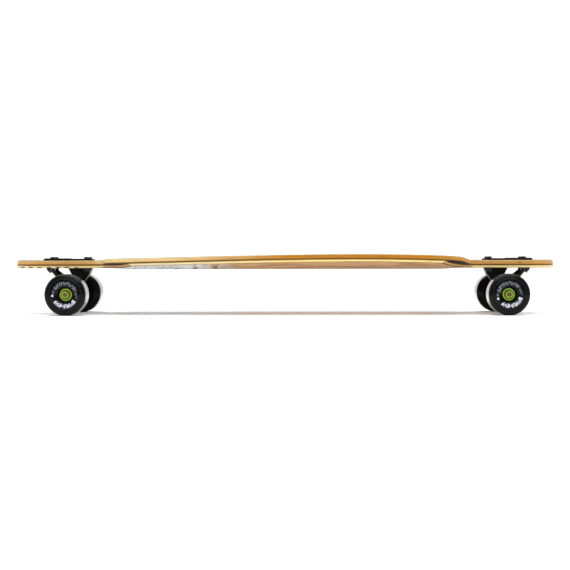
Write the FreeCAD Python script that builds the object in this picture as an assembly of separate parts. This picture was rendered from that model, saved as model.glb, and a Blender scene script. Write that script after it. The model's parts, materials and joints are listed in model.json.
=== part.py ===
"""Drop-through longboard: a concave laminated deck, two steering trucks and four wheels.

Frame: millimetres, +X along the board to its front, +Y to its left, +Z up. The origin is on the
ground under the middle of the board's length. The model is drawn from the point half way between
the axles and moved as it is written, because the tail is longer than the nose. A truck is modelled
over the origin with +X pointing away from the board's middle, then turned about Z and moved onto its
axle. A wheel is modelled round the Y axis with its outer face towards +Y, then turned and moved onto
its axle end.
"""
import FreeCAD, Part
import math
import os

vec = FreeCAD.Vector
X_AXIS = vec(1, 0, 0)
Y_AXIS = vec(0, 1, 0)
Z_AXIS = vec(0, 0, 1)

# Deck
FRONT_OVERHANG = 95.8        # from the front axle to the nose
REAR_OVERHANG = 107.7        # from the rear axle to the tail
DECK_WIDTH = 241.0
DECK_THICKNESS = 14.0
NECK_WIDTH = 122.0
NECK_UNDERSIDE = 85.3        # height of the flat ends' underside above the ground
FLARE_X = 333.0              # where the wide platform ends
FLARE_CORNER_RADIUS = 22.0
FLARE_ROOT_RADIUS = 16.0
NOSE_LENGTH = 56.0           # length of the rounded end beyond the parallel neck
BELLY_DROP = 2.4             # how far the platform's middle hangs below the ends
BELLY_BLEND = 60.0           # length over which it comes down
CONCAVE_POWER = 2.3          # shape of the concave across the deck
# Height that the rail gains over the flat ends, at places along the board. It is greatest
# under the front foot.
RAIL_RISE = [
    (-350, 0.0), (-334, 2.6), (-300, 3.4), (-256, 4.6), (-170, 6.6), (-83, 8.7), (3, 10.2),
    (90, 11.2), (140, 11.4), (218, 10.4), (262, 9.2), (305, 7.0), (316, 5.5), (330, 1.2),
    (338, 0.0),
]
RELIEF_DEPTH = 5.6           # veneers cut away under each flare, for the wheels
RELIEF_RAIL_X = 278.0        # where that relief begins at the rail
RELIEF_NECK_X = 318.0        # where it meets the neck's edge line
GRIP_THICKNESS = 0.6
GRIP_INSET = 2.8
GRIP_GAP = 1.0               # bare wood round a baseplate

# Truck, measured from its axle: x outwards, z above the ground
WHEELBASE = 799.0
AXLE_HEIGHT = 37.5
PIVOT_CENTRE = vec(10.45, 0, 52.45)     # middle of the hanger's ring
STEER_ANGLE = 45.0                      # slope of the steering axis
TO_PIVOT = vec(math.cos(math.radians(STEER_ANGLE)), 0, math.sin(math.radians(STEER_ANGLE)))
TO_NUT = vec(TO_PIVOT.z, 0, -TO_PIVOT.x)
PLATE_INNER_X = -34.3
PLATE_OUTER_X = 56.0
PLATE_WIDTH = 56.0
PLATE_THICKNESS = 3.6
PLATE_CORNER_RADIUS = 9.0
PLATE_RIM_RADIUS = 1.0
HUMP_HEIGHT = 0.8                       # extra metal over the pivot housing
HUMP_INNER_X = 8.0
HUMP_MARGIN = 1.2                       # from the hump to the plate's outer end
HUMP_HALF_WIDTH = 13.0
HUMP_RIM_RADIUS = 0.7
BOLT_X = (-24.7, 38.8)
BOLT_Y = 41.3 / 2
BOLT_RADIUS = 2.4
BOLT_HOLE_RADIUS = 2.7
BOLT_HEAD_RADIUS = 4.75
BOLT_HEAD_HEIGHT = 3.4
BOLT_HEAD_RIM_RADIUS = 1.6
SOCKET_FLATS = 3.2
SOCKET_FLOOR = 1.2                      # above the head's seat
BOLT_OVERHANG = 1.2                     # of the bolt past its nut
LOCK_NUT_FLATS = 9.5
LOCK_NUT_HEIGHT = 6.0
LOCK_NUT_COLLAR = 1.6
CUTOUT_WIDE = (-18.0, 32.0, 27.0)       # from x, to x, half width
CUTOUT_LONG = (-33.2, 53.0, 14.5)
CUTOUT_CORNER_RADIUS = 4.0
CUTOUT_GAP = 0.5
PLUG_RISE = 1.7                         # of the plug's bottom over the deck's underside
BOSS_OUTER_X = 10.5
BOSS_OVERLAP = 4.0                      # of the boss into the plug
BOSS_INNER_SIDE = [(-31.8, 82.5), (-28.0, 73.4), (-18.8, 61.4)]     # x and z, going down
BOSS_FLANK_DROP = 4.0                   # where its two flanks start to close in
BOSS_FOOT_HALF_WIDTH = 9.5

# Places along the kingpin, from the middle of the ring towards the nut
RING_HALF = 5.0
BUSHING_LENGTH_BOARD = 13.7
BUSHING_LENGTH_ROAD = 12.0
WASHER_BOARD = 1.0
WASHER_ROAD = 1.5
KINGPIN_NUT_HEIGHT = 8.5
KINGPIN_HEAD_HEIGHT = 6.0
BOSS_SEAT = -(RING_HALF + BUSHING_LENGTH_BOARD + WASHER_BOARD)
HEAD_SEAT = BOSS_SEAT - 11.3
NUT_SEAT = RING_HALF + BUSHING_LENGTH_ROAD + WASHER_ROAD
KINGPIN_RADIUS = 4.75
RING_RADIUS = 17.0
RING_HOLE_RADIUS = 7.5
BUSHING_RADIUS = 12.5
BUSHING_POCKET_RADIUS = 13.2
WASHER_RADIUS = 13.0
BOSS_RADIUS = 13.4
BOSS_BARREL_LENGTH = 14.0
HEAD_POCKET_RADIUS = 8.8
HEAD_POCKET_LENGTH = 12.0
HEAD_POCKET_ENTRY = 7.0                 # extra room for the head on its way in
KINGPIN_HEAD_FLATS = 14.0
KINGPIN_NUT_FLATS = 14.3
KINGPIN_NUT_COLLAR = 2.0
KINGPIN_COLLAR_RADIUS = 6.6
KINGPIN_OVERHANG = 1.5                  # of the kingpin past its nut
BUSHING_RIM_RADIUS = 1.2

# Places along the steering axis, from the middle of the ring towards the pivot
HOUSING_MOUTH = 41.8
HOUSING_RADIUS = 9.6
CUP_DEPTH = 8.5
CUP_RADIUS = 6.6
CUP_FLOOR = 1.0
NOSE_RADIUS = 5.2
NOSE_CLEARANCE = 0.08
NOSE_FLOOR_GAP = 0.3
NOSE_RIM_RADIUS = 1.5
LEG_GAP = 0.8                # between the leg and the housing
LEG_START = 14.0
LEG_RADIUS_ROOT = 8.4
LEG_RADIUS_TIP = 5.7

# Hanger and axle, along Y
HANGER_HALF = 90.0
TUBE_RADIUS_MIDDLE = 13.0
TUBE_RADIUS_END = 9.5
TUBE_TAPER_END = 62.0
SPIGOT_RADIUS = 7.0
SPIGOT_LENGTH = 5.0
RING_RIM_RADIUS = 1.5
WEB_TOP = 6.0                # along the steering axis, from the ring's middle
WEB_BOTTOM = -18.0
WEB_TIP_HEIGHT = 5.0
WEB_REACH = 58.0
WEB_START = -4.0             # along the kingpin
WEB_THICKNESS = 8.5
WEB_EDGE_RADIUS = 2.5
AXLE_RADIUS = 4.0
AXLE_HALF = 124.0
AXLE_NUT_HEIGHT = 6.0
AXLE_NUT_FLATS = 13.0
AXLE_NUT_COLLAR = 1.6
AXLE_COLLAR_RADIUS = 5.9
AXLE_CHAMFER = 0.6
SPEED_WASHER = 1.0
SPEED_WASHER_RADIUS = 5.5

# Wheel, round the Y axis
WHEEL_RADIUS = 37.5
WHEEL_HALF = 26.0
WHEEL_Y = 103.0
FACE_RADIUS = 30.5           # where the flat face meets the lip
LIP_SHOULDER = 20.5          # where the lip meets the tread
CORE_RADIUS = 17.5
CORE_HALF = 14.0
HUB_FLOOR_RADIUS = 14.0      # of the mouth in the urethane, at the core
HUB_MOUTH_RADIUS = 14.5
HUB_MOUTH_CHAMFER = 1.6
FACE_INNER_RADIUS = 16.0
FACE_STEP = 0.5              # the fine edge round the flat face
LIP_BULGE = (5.0, 3.3)       # middle of the lip, from the face's rim and from the shoulder

# Ball bearing, 22 x 8 x 7
BEARING_RADIUS = 11.0
BEARING_WIDTH = 7.0
BEARING_INNER_RADIUS = 6.1
BEARING_OUTER_BORE = 9.0
BALL_RADIUS = 1.95
BALL_PITCH_RADIUS = 7.6
BALL_COUNT = 7
RACE_CLEARANCE = 0.05
SPACER_LENGTH = 10.0
SPACER_RADIUS = 5.3
CAGE_HALF = 2.5
CAGE_HALF_THICKNESS = 0.7
CAGE_CLEARANCE = 0.1
SHIELD_GAP = 0.35
STOP_STEP = 0.4              # of the core's stop inside the outer ring's bore
SEAT_FLARE = 0.8             # widening of the core from its bearing seat to its end
SHIELD_THICKNESS = 0.4
SHIELD_DEPTH = 0.2
BEARING_MIDDLES = (
    -(SPACER_LENGTH + BEARING_WIDTH) / 2,
    (SPACER_LENGTH + BEARING_WIDTH) / 2,
)

DECK_TOP = NECK_UNDERSIDE + DECK_THICKNESS
NOSE_X = WHEELBASE / 2 + FRONT_OVERHANG
TAIL_X = -WHEELBASE / 2 - REAR_OVERHANG
ORIGIN_X = (NOSE_X + TAIL_X) / 2


# ---- general shapes ----

def cylinder(radius, start, direction, length):
    """A cylinder from a start point along a direction."""
    return Part.makeCylinder(radius, length, start, direction)


def tube(outer, inner, start, direction, length):
    """A straight tube with its two ends open."""
    return cylinder(outer, start, direction, length).cut(
        cylinder(inner, start - direction * 1.0, direction, length + 2.0)
    )


def box(x_range, y_range, z_range):
    """A box from its three ranges."""
    size = [pair[1] - pair[0] for pair in (x_range, y_range, z_range)]
    return Part.makeBox(*size, vec(x_range[0], y_range[0], z_range[0]))


def polygon_prism(points, travel):
    """A closed polygon pushed along a vector."""
    return Part.Face(Part.makePolygon(points + [points[0]])).extrude(travel)


def hexagon_prism(flats, start, direction, length):
    """A six-sided prism, sized across its flats, with one corner along Y or Z."""
    corner = flats / 2 / math.cos(math.pi / 6)
    side = Y_AXIS if abs(direction.y) < 0.5 else Z_AXIS
    other = direction.cross(side)
    points = []
    for index in range(6):
        turn = index * math.pi / 3
        points.append(start + side * (corner * math.cos(turn)) + other * (corner * math.sin(turn)))
    return polygon_prism(points, direction * length)


def turned_about_y(points):
    """A ring turned about the Y axis from (radius, y) points."""
    wire = Part.makePolygon([vec(r, y, 0) for r, y in points + [points[0]]])
    return Part.Face(wire).revolve(vec(0, 0, 0), Y_AXIS, 360)


def joined(shapes):
    """One solid from several that overlap."""
    first = shapes[0]
    return first.fuse(shapes[1:]).removeSplitter()


def group(shapes):
    """Separate solids kept in one node."""
    return Part.makeCompound(shapes)


# ---- deck ----

def rail_rise(x):
    """Height of the rail over the flat ends, by a smooth curve with no overshoot."""
    if x <= RAIL_RISE[0][0] or x >= RAIL_RISE[-1][0]:
        return 0.0
    steps = [
        (b[1] - a[1]) / (b[0] - a[0])
        for a, b in zip(RAIL_RISE, RAIL_RISE[1:])
    ]
    slopes = [0.0]
    for before, after in zip(steps, steps[1:]):
        slopes.append(2 * before * after / (before + after) if before * after > 0 else 0.0)
    slopes.append(0.0)
    for index, (a, b) in enumerate(zip(RAIL_RISE, RAIL_RISE[1:])):
        if x <= b[0]:
            span = b[0] - a[0]
            t = (x - a[0]) / span
            return (
                a[1] * (1 + 2 * t) * (1 - t) ** 2
                + slopes[index] * span * t * (1 - t) ** 2
                + b[1] * t * t * (3 - 2 * t)
                - slopes[index + 1] * span * t * t * (1 - t)
            )
    return 0.0


def underside_height(x, y):
    """Height of the deck's underside above the ground."""
    inside = min(1.0, max(0.0, (FLARE_X + 5 - abs(x)) / BELLY_BLEND))
    belly = -BELLY_DROP * inside * inside * (3 - 2 * inside)
    across = (abs(y) / (DECK_WIDTH / 2)) ** CONCAVE_POWER
    return NECK_UNDERSIDE + belly + (rail_rise(x) - belly) * across


def underside_face():
    """The deck's underside as one smooth face, a little larger than the outline."""
    columns = 125
    rows = 17
    margin = 4.0
    start_x = TAIL_X - margin
    span_x = NOSE_X - TAIL_X + 2 * margin
    reach_y = DECK_WIDTH / 2 + margin
    grid = []
    for i in range(columns):
        x = start_x + span_x * i / (columns - 1)
        line = []
        for j in range(rows):
            y = -reach_y + 2 * reach_y * j / (rows - 1)
            line.append(vec(x, y, underside_height(x, y)))
        grid.append(line)
    surface = Part.BSplineSurface()
    surface.interpolate(grid)
    return surface.toShape()


def quarter_arc(centre, radius, start_degrees, end_degrees):
    """An arc in the XY plane, from one angle to another."""
    points = []
    for turn in (start_degrees, (start_degrees + end_degrees) / 2, end_degrees):
        angle = math.radians(turn)
        points.append(centre + vec(math.cos(angle), math.sin(angle), 0) * radius)
    return Part.Arc(*points).toShape()


def half_outline(inset, end_x):
    """The outline's edges from the middle of one rail round to the tip of one end, at +Y."""
    rail = DECK_WIDTH / 2 - inset
    neck = NECK_WIDTH / 2 - inset
    flare = FLARE_X - inset
    corner = FLARE_CORNER_RADIUS - inset
    root = FLARE_ROOT_RADIUS + inset
    reach = NOSE_LENGTH - inset
    round_x = end_x - NOSE_LENGTH
    corner_centre = vec(flare - corner, rail - corner, 0)
    root_centre = vec(flare + root, neck + root, 0)
    oval = Part.Ellipse(vec(0, neck, 0), vec(reach, 0, 0), vec(0, 0, 0)).toShape()
    round_end = oval.common(box((0, reach + 5), (0, neck + 5), (-1, 1))).Edges[0]
    round_end.translate(vec(round_x, 0, 0))
    return [
        Part.LineSegment(vec(0, rail, 0), vec(corner_centre.x, rail, 0)).toShape(),
        quarter_arc(corner_centre, corner, 90, 0),
        Part.LineSegment(vec(flare, corner_centre.y, 0), vec(flare, root_centre.y, 0)).toShape(),
        quarter_arc(root_centre, root, 180, 270),
        Part.LineSegment(vec(root_centre.x, neck, 0), vec(round_x, neck, 0)).toShape(),
        round_end,
    ]


def deck_outline(inset):
    """The deck's outline as a wire in the XY plane, drawn inwards by an inset."""
    half = half_outline(inset, NOSE_X)
    half += [edge.mirror(vec(0, 0, 0), X_AXIS) for edge in half_outline(inset, -TAIL_X)]
    edges = half + [edge.mirror(vec(0, 0, 0), Y_AXIS) for edge in half]
    return Part.Wire(Part.__sortEdges__(edges))


def outline_prism(inset):
    """The outline as a tall solid."""
    wire = deck_outline(inset)
    wire.translate(vec(0, 0, 40))
    return Part.Face(wire).extrude(vec(0, 0, 120))


def truck_placements():
    """Name of each truck, with the placement that carries it onto its axle."""
    yield "front", FreeCAD.Placement(vec(WHEELBASE / 2, 0, 0), FreeCAD.Rotation(Z_AXIS, 0))
    yield "rear", FreeCAD.Placement(vec(-WHEELBASE / 2, 0, 0), FreeCAD.Rotation(Z_AXIS, 180))


def placed(shape, placement):
    """A moved copy of a shape."""
    copy = shape.copy()
    copy.Placement = placement.multiply(copy.Placement)
    return copy


def cutout(shrink, z_range):
    """The cross-shaped drop-through opening, or the plug that fits it."""
    arms = []
    for x_low, x_high, half in (CUTOUT_WIDE, CUTOUT_LONG):
        arm = box((x_low + shrink, x_high - shrink), (shrink - half, half - shrink), z_range)
        upright = [edge for edge in arm.Edges if abs(edge.tangentAt(0).z) > 0.9]
        arms.append(arm.makeFillet(CUTOUT_CORNER_RADIUS, upright))
    return joined(arms)


def bolt_points():
    """The four bolt places of a truck."""
    return [(x, y) for x in BOLT_X for y in (-BOLT_Y, BOLT_Y)]


def flare_reliefs():
    """The lower veneers that are cut away under the four flares."""
    rail = DECK_WIDTH / 2
    neck = NECK_WIDTH / 2
    veneers = underside_face().extrude(vec(0, 0, RELIEF_DEPTH))
    reliefs = []
    for side_x in (-1, 1):
        for side_y in (-1, 1):
            corners = [
                (RELIEF_RAIL_X, rail + 3), (RELIEF_NECK_X, neck), (FLARE_X + 20, neck),
                (FLARE_X + 20, rail + 3),
            ]
            points = [vec(side_x * x, side_y * y, 60) for x, y in corners]
            reliefs.append(veneers.common(polygon_prism(points, vec(0, 0, 60))))
    return reliefs


def deck():
    """The laminated board with its openings, bolt holes and reliefs."""
    board = underside_face().extrude(vec(0, 0, DECK_THICKNESS)).common(outline_prism(0.0))
    cuts = flare_reliefs()
    for _, placement in truck_placements():
        cuts.append(placed(cutout(0.0, (70, 110)), placement))
        for x, y in bolt_points():
            cuts.append(placed(cylinder(BOLT_HOLE_RADIUS, vec(x, y, 70), Z_AXIS, 40), placement))
    return board.cut(cuts)


def grip_tape():
    """The thin abrasive sheet on the deck's top, cut away round the baseplates."""
    bottom = underside_face()
    bottom.translate(vec(0, 0, DECK_THICKNESS))
    sheet = bottom.extrude(vec(0, 0, GRIP_THICKNESS)).common(outline_prism(GRIP_INSET))
    windows = []
    for _, placement in truck_placements():
        windows.append(placed(plate_blank(GRIP_GAP, (90, 120)), placement))
    return sheet.cut(windows)


# ---- baseplate and what it holds ----

def plate_blank(grow, z_range):
    """The baseplate's rounded rectangle, grown on every side."""
    half = PLATE_WIDTH / 2 + grow
    blank = box((PLATE_INNER_X - grow, PLATE_OUTER_X + grow), (-half, half), z_range)
    upright = [edge for edge in blank.Edges if abs(edge.tangentAt(0).z) > 0.9]
    return blank.makeFillet(PLATE_CORNER_RADIUS + grow, upright)


def on_kingpin(distance):
    """A point on the kingpin's axis."""
    return PIVOT_CENTRE + TO_NUT * distance


def on_steering_axis(distance):
    """A point on the steering axis."""
    return PIVOT_CENTRE + TO_PIVOT * distance


def plate_flange():
    """The flat plate on the deck, with a low hump over the pivot housing."""
    top = DECK_TOP + PLATE_THICKNESS
    flange = plate_blank(0.0, (DECK_TOP, top))
    rim = [edge for edge in flange.Edges if edge.BoundBox.ZMin > top - 0.01]
    flange = flange.makeFillet(PLATE_RIM_RADIUS, rim)
    hump = box(
        (HUMP_INNER_X, PLATE_OUTER_X - HUMP_MARGIN),
        (-HUMP_HALF_WIDTH, HUMP_HALF_WIDTH),
        (DECK_TOP + 1, top + HUMP_HEIGHT),
    )
    hump_rim = [edge for edge in hump.Edges if edge.BoundBox.ZMax > top]
    hump = hump.makeFillet(HUMP_RIM_RADIUS, hump_rim)
    return joined([flange, hump])


def kingpin_boss():
    """The block that carries the kingpin below the plate."""
    seat_low = on_kingpin(BOSS_SEAT) - TO_PIVOT * BOSS_RADIUS
    seat_high = on_kingpin(BOSS_SEAT) + TO_PIVOT * BOSS_RADIUS
    plug_bottom = NECK_UNDERSIDE + PLUG_RISE
    side = [
        seat_low,
        seat_high,
        vec(BOSS_OUTER_X, 0, NECK_UNDERSIDE),
        vec(BOSS_OUTER_X, 0, plug_bottom + BOSS_OVERLAP),
        vec(CUTOUT_LONG[0] + CUTOUT_GAP + 0.2, 0, plug_bottom + BOSS_OVERLAP),
    ]
    side += [vec(x, 0, z) for x, z in BOSS_INNER_SIDE]
    half = BOSS_RADIUS + 0.4
    block = polygon_prism([p - Y_AXIS * half for p in side], Y_AXIS * 2 * half)
    low_z = seat_low.z - 1
    flank = [
        vec(-50, -half, plug_bottom + BOSS_OVERLAP + 1),
        vec(-50, -half, NECK_UNDERSIDE - BOSS_FLANK_DROP),
        vec(-50, -BOSS_FOOT_HALF_WIDTH, low_z),
        vec(-50, BOSS_FOOT_HALF_WIDTH, low_z),
        vec(-50, half, NECK_UNDERSIDE - BOSS_FLANK_DROP),
        vec(-50, half, plug_bottom + BOSS_OVERLAP + 1),
    ]
    block = block.common(polygon_prism(flank, X_AXIS * 100))
    barrel = cylinder(BOSS_RADIUS, on_kingpin(BOSS_SEAT), TO_NUT * -1, BOSS_BARREL_LENGTH)
    return joined([block, barrel])


def pivot_housing():
    """The slanted barrel that carries the pivot cup."""
    barrel = cylinder(HOUSING_RADIUS, on_steering_axis(HOUSING_MOUTH), TO_PIVOT, 30.0)
    limits = box((0, CUTOUT_LONG[1] - CUTOUT_GAP), (-20, 20), (60, DECK_TOP + 1))
    return barrel.common(limits)


def head_pocket():
    """The recess in the plate's top that takes the kingpin's head."""
    radius = HEAD_POCKET_RADIUS
    seat = on_kingpin(HEAD_SEAT)
    slanted = cylinder(radius, seat, TO_NUT * -1, HEAD_POCKET_LENGTH)
    low_x = seat.x - TO_PIVOT.x * radius - HEAD_POCKET_ENTRY
    high_x = seat.x + TO_PIVOT.x * radius + 0.6
    half = radius + 0.5
    floor_z = seat.z + TO_PIVOT.z * radius - 0.7
    chimney = box((low_x, high_x), (-half, half), (floor_z, 120))
    upright = [edge for edge in chimney.Edges if abs(edge.tangentAt(0).z) > 0.9]
    chimney = chimney.makeFillet(5.0, upright)
    return joined([slanted, chimney])


def baseplate():
    """The cast plate: flange, plug through the deck, kingpin boss and pivot housing."""
    body = joined([
        plate_flange(),
        cutout(CUTOUT_GAP, (NECK_UNDERSIDE + PLUG_RISE, DECK_TOP + 1)),
        kingpin_boss(),
        pivot_housing(),
    ])
    cuts = [
        head_pocket(),
        cylinder(KINGPIN_RADIUS, on_kingpin(HEAD_SEAT - 1), TO_NUT, 40),
        cylinder(CUP_RADIUS, on_steering_axis(HOUSING_MOUTH - 5), TO_PIVOT, CUP_DEPTH + 5),
    ]
    for x, y in bolt_points():
        cuts.append(cylinder(BOLT_HOLE_RADIUS, vec(x, y, 70), Z_AXIS, 50))
    return body.cut(cuts)


def mounting_bolts():
    """Four pan-head bolts with hexagon sockets."""
    seat = DECK_TOP + PLATE_THICKNESS
    end = NECK_UNDERSIDE - LOCK_NUT_HEIGHT - BOLT_OVERHANG
    bolts = []
    for x, y in bolt_points():
        head = cylinder(BOLT_HEAD_RADIUS, vec(x, y, seat), Z_AXIS, BOLT_HEAD_HEIGHT)
        rim = [edge for edge in head.Edges if edge.BoundBox.ZMin > seat + 1]
        head = head.makeFillet(BOLT_HEAD_RIM_RADIUS, rim)
        shank = cylinder(BOLT_RADIUS, vec(x, y, end), Z_AXIS, seat - end + 1)
        socket = hexagon_prism(
            SOCKET_FLATS, vec(x, y, seat + SOCKET_FLOOR), Z_AXIS, BOLT_HEAD_HEIGHT
        )
        bolts.append(joined([head, shank]).cut(socket))
    return group(bolts)


def mounting_nuts():
    """Four lock nuts under the deck, each with a round collar."""
    nuts = []
    body_height = LOCK_NUT_HEIGHT - LOCK_NUT_COLLAR
    for x, y in bolt_points():
        top = vec(x, y, NECK_UNDERSIDE)
        body = hexagon_prism(LOCK_NUT_FLATS, top, Z_AXIS * -1, body_height)
        ring = cylinder(LOCK_NUT_FLATS / 2 - 0.3, top, Z_AXIS * -1, LOCK_NUT_HEIGHT)
        bore = cylinder(BOLT_RADIUS, top + Z_AXIS, Z_AXIS * -1, LOCK_NUT_HEIGHT + 2)
        nuts.append(joined([body, ring]).cut(bore))
    return group(nuts)


def kingpin():
    """The bolt through the bushings, with its hexagon head in the plate's recess."""
    end = NUT_SEAT + KINGPIN_NUT_HEIGHT + KINGPIN_OVERHANG
    shank = cylinder(KINGPIN_RADIUS, on_kingpin(HEAD_SEAT), TO_NUT, end - HEAD_SEAT)
    head = hexagon_prism(
        KINGPIN_HEAD_FLATS, on_kingpin(HEAD_SEAT), TO_NUT * -1, KINGPIN_HEAD_HEIGHT
    )
    return joined([shank, head])


def kingpin_nut():
    """The lock nut at the kingpin's lower end."""
    seat = on_kingpin(NUT_SEAT)
    body_height = KINGPIN_NUT_HEIGHT - KINGPIN_NUT_COLLAR
    body = hexagon_prism(KINGPIN_NUT_FLATS, seat, TO_NUT, body_height)
    collar = cylinder(KINGPIN_COLLAR_RADIUS, seat, TO_NUT, KINGPIN_NUT_HEIGHT)
    bore = cylinder(KINGPIN_RADIUS, seat - TO_NUT, TO_NUT, KINGPIN_NUT_HEIGHT + 2)
    return joined([body, collar]).cut(bore)


def pivot_cup():
    """The lining of the pivot housing."""
    start = on_steering_axis(HOUSING_MOUTH)
    bore_depth = CUP_DEPTH - CUP_FLOOR
    cup = cylinder(CUP_RADIUS, start, TO_PIVOT, CUP_DEPTH)
    bore = cylinder(NOSE_RADIUS + NOSE_CLEARANCE, start - TO_PIVOT, TO_PIVOT, bore_depth + 1)
    return cup.cut(bore)


def bushing(start, length):
    """A barrel bushing with rounded edges, round the kingpin."""
    body = cylinder(BUSHING_RADIUS, on_kingpin(start), TO_NUT, length)
    rims = [edge for edge in body.Edges if edge.Curve.TypeId == "Part::GeomCircle"]
    body = body.makeFillet(BUSHING_RIM_RADIUS, rims)
    return body.cut(cylinder(KINGPIN_RADIUS, on_kingpin(start - 1), TO_NUT, length + 2))


def kingpin_washer(start, thickness):
    """A flat washer round the kingpin."""
    return tube(WASHER_RADIUS, KINGPIN_RADIUS, on_kingpin(start), TO_NUT, thickness)


# ---- hanger and what it holds ----

def hanger_arms():
    """The cross tube, thick in the middle and slim at the wheels, with spigots for the washers."""
    shoulder = HANGER_HALF - SPIGOT_LENGTH
    profile = [
        (0, -HANGER_HALF), (SPIGOT_RADIUS, -HANGER_HALF), (SPIGOT_RADIUS, -shoulder),
        (TUBE_RADIUS_END, -shoulder), (TUBE_RADIUS_END, -TUBE_TAPER_END),
        (TUBE_RADIUS_MIDDLE, -RING_RADIUS), (TUBE_RADIUS_MIDDLE, RING_RADIUS),
        (TUBE_RADIUS_END, TUBE_TAPER_END), (TUBE_RADIUS_END, shoulder),
        (SPIGOT_RADIUS, shoulder), (SPIGOT_RADIUS, HANGER_HALF), (0, HANGER_HALF),
    ]
    arms = turned_about_y(profile)
    arms.translate(vec(0, 0, AXLE_HEIGHT))
    return arms


def hanger_web():
    """The triangular plate between the ring and the arms."""
    tip_top = WEB_BOTTOM + WEB_TIP_HEIGHT
    corners = [
        (1 - RING_RADIUS, WEB_TOP), (RING_RADIUS - 1, WEB_TOP), (WEB_REACH, tip_top),
        (WEB_REACH, WEB_BOTTOM), (-WEB_REACH, WEB_BOTTOM), (-WEB_REACH, tip_top),
    ]
    start = on_kingpin(WEB_START)
    points = [start + Y_AXIS * y + TO_PIVOT * t for y, t in corners]
    web = polygon_prism(points, TO_NUT * WEB_THICKNESS)
    slanted = [edge for edge in web.Edges if 30 < edge.Length < 60]
    return web.makeFillet(WEB_EDGE_RADIUS, slanted)


def hanger():
    """The steering casting: ring, pivot leg, web and axle arms."""
    ring = cylinder(RING_RADIUS, on_kingpin(-RING_HALF), TO_NUT, 2 * RING_HALF)
    rims = [edge for edge in ring.Edges if edge.Curve.TypeId == "Part::GeomCircle"]
    ring = ring.makeFillet(RING_RIM_RADIUS, rims)
    leg_end = HOUSING_MOUTH - LEG_GAP
    leg = Part.makeCone(
        LEG_RADIUS_ROOT, LEG_RADIUS_TIP, leg_end - LEG_START, on_steering_axis(LEG_START), TO_PIVOT
    )
    nose_length = LEG_GAP + CUP_DEPTH - CUP_FLOOR - NOSE_FLOOR_GAP
    nose = cylinder(NOSE_RADIUS, on_steering_axis(leg_end), TO_PIVOT, nose_length)
    tip_x = on_steering_axis(HOUSING_MOUTH + 3).x
    tip = [
        edge for edge in nose.Edges
        if edge.Curve.TypeId == "Part::GeomCircle" and edge.CenterOfMass.x > tip_x
    ]
    nose = nose.makeFillet(NOSE_RIM_RADIUS, tip)
    casting = joined([hanger_arms(), hanger_web(), ring, leg, nose])
    cuts = [
        cylinder(RING_HOLE_RADIUS, on_kingpin(-20), TO_NUT, 40),
        cylinder(BUSHING_POCKET_RADIUS, on_kingpin(RING_HALF), TO_NUT, 30),
        cylinder(BUSHING_POCKET_RADIUS, on_kingpin(-RING_HALF), TO_NUT * -1, 30),
        cylinder(AXLE_RADIUS, vec(0, -AXLE_HALF, AXLE_HEIGHT), Y_AXIS, 2 * AXLE_HALF),
    ]
    return casting.cut(cuts)


def axle():
    """The steel rod through the hanger."""
    rod = cylinder(AXLE_RADIUS, vec(0, -AXLE_HALF, AXLE_HEIGHT), Y_AXIS, 2 * AXLE_HALF)
    rims = [edge for edge in rod.Edges if edge.Curve.TypeId == "Part::GeomCircle"]
    return rod.makeChamfer(AXLE_CHAMFER, rims)


def on_axle_ends(build):
    """Both copies of a group that is built round the +Y end of the axle."""
    pieces = []
    for turn in (0, 180):
        for piece in build():
            copy = piece.copy()
            copy.rotate(vec(0, 0, 0), Z_AXIS, turn)
            copy.translate(vec(0, 0, AXLE_HEIGHT))
            pieces.append(copy)
    return group(pieces)


def axle_nut_pieces():
    """The lock nut at one axle end."""
    start = vec(0, WHEEL_Y + SPACER_LENGTH / 2 + BEARING_WIDTH + SPEED_WASHER, 0)
    body = hexagon_prism(AXLE_NUT_FLATS, start, Y_AXIS, AXLE_NUT_HEIGHT - AXLE_NUT_COLLAR)
    collar = cylinder(AXLE_COLLAR_RADIUS, start, Y_AXIS, AXLE_NUT_HEIGHT)
    bore = cylinder(AXLE_RADIUS, start - Y_AXIS, Y_AXIS, AXLE_NUT_HEIGHT + 2)
    return [joined([body, collar]).cut(bore)]


def speed_washer_pieces():
    """The two thin washers beside one wheel's bearings."""
    far = WHEEL_Y + SPACER_LENGTH / 2 + BEARING_WIDTH
    return [
        tube(SPEED_WASHER_RADIUS, AXLE_RADIUS, vec(0, y, 0), Y_AXIS, SPEED_WASHER)
        for y in (HANGER_HALF, far)
    ]


def bearing_spacer_pieces():
    """The tube between one wheel's bearings."""
    start = vec(0, WHEEL_Y - SPACER_LENGTH / 2, 0)
    return [tube(SPACER_RADIUS, AXLE_RADIUS, start, Y_AXIS, SPACER_LENGTH)]


def race_groove(middle):
    """The torus that the balls run in."""
    return Part.makeTorus(
        BALL_PITCH_RADIUS, BALL_RADIUS + RACE_CLEARANCE, vec(0, middle, 0), Y_AXIS
    )


def bearing_ring(outer, inner, middle):
    """One ring of a bearing with its groove."""
    start = vec(0, middle - BEARING_WIDTH / 2, 0)
    return tube(outer, inner, start, Y_AXIS, BEARING_WIDTH).cut(race_groove(middle))


def inner_ring_pieces():
    """The inner rings of one wheel's two bearings."""
    return [
        bearing_ring(BEARING_INNER_RADIUS, AXLE_RADIUS, WHEEL_Y + middle)
        for middle in BEARING_MIDDLES
    ]


# ---- wheel ----

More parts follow.
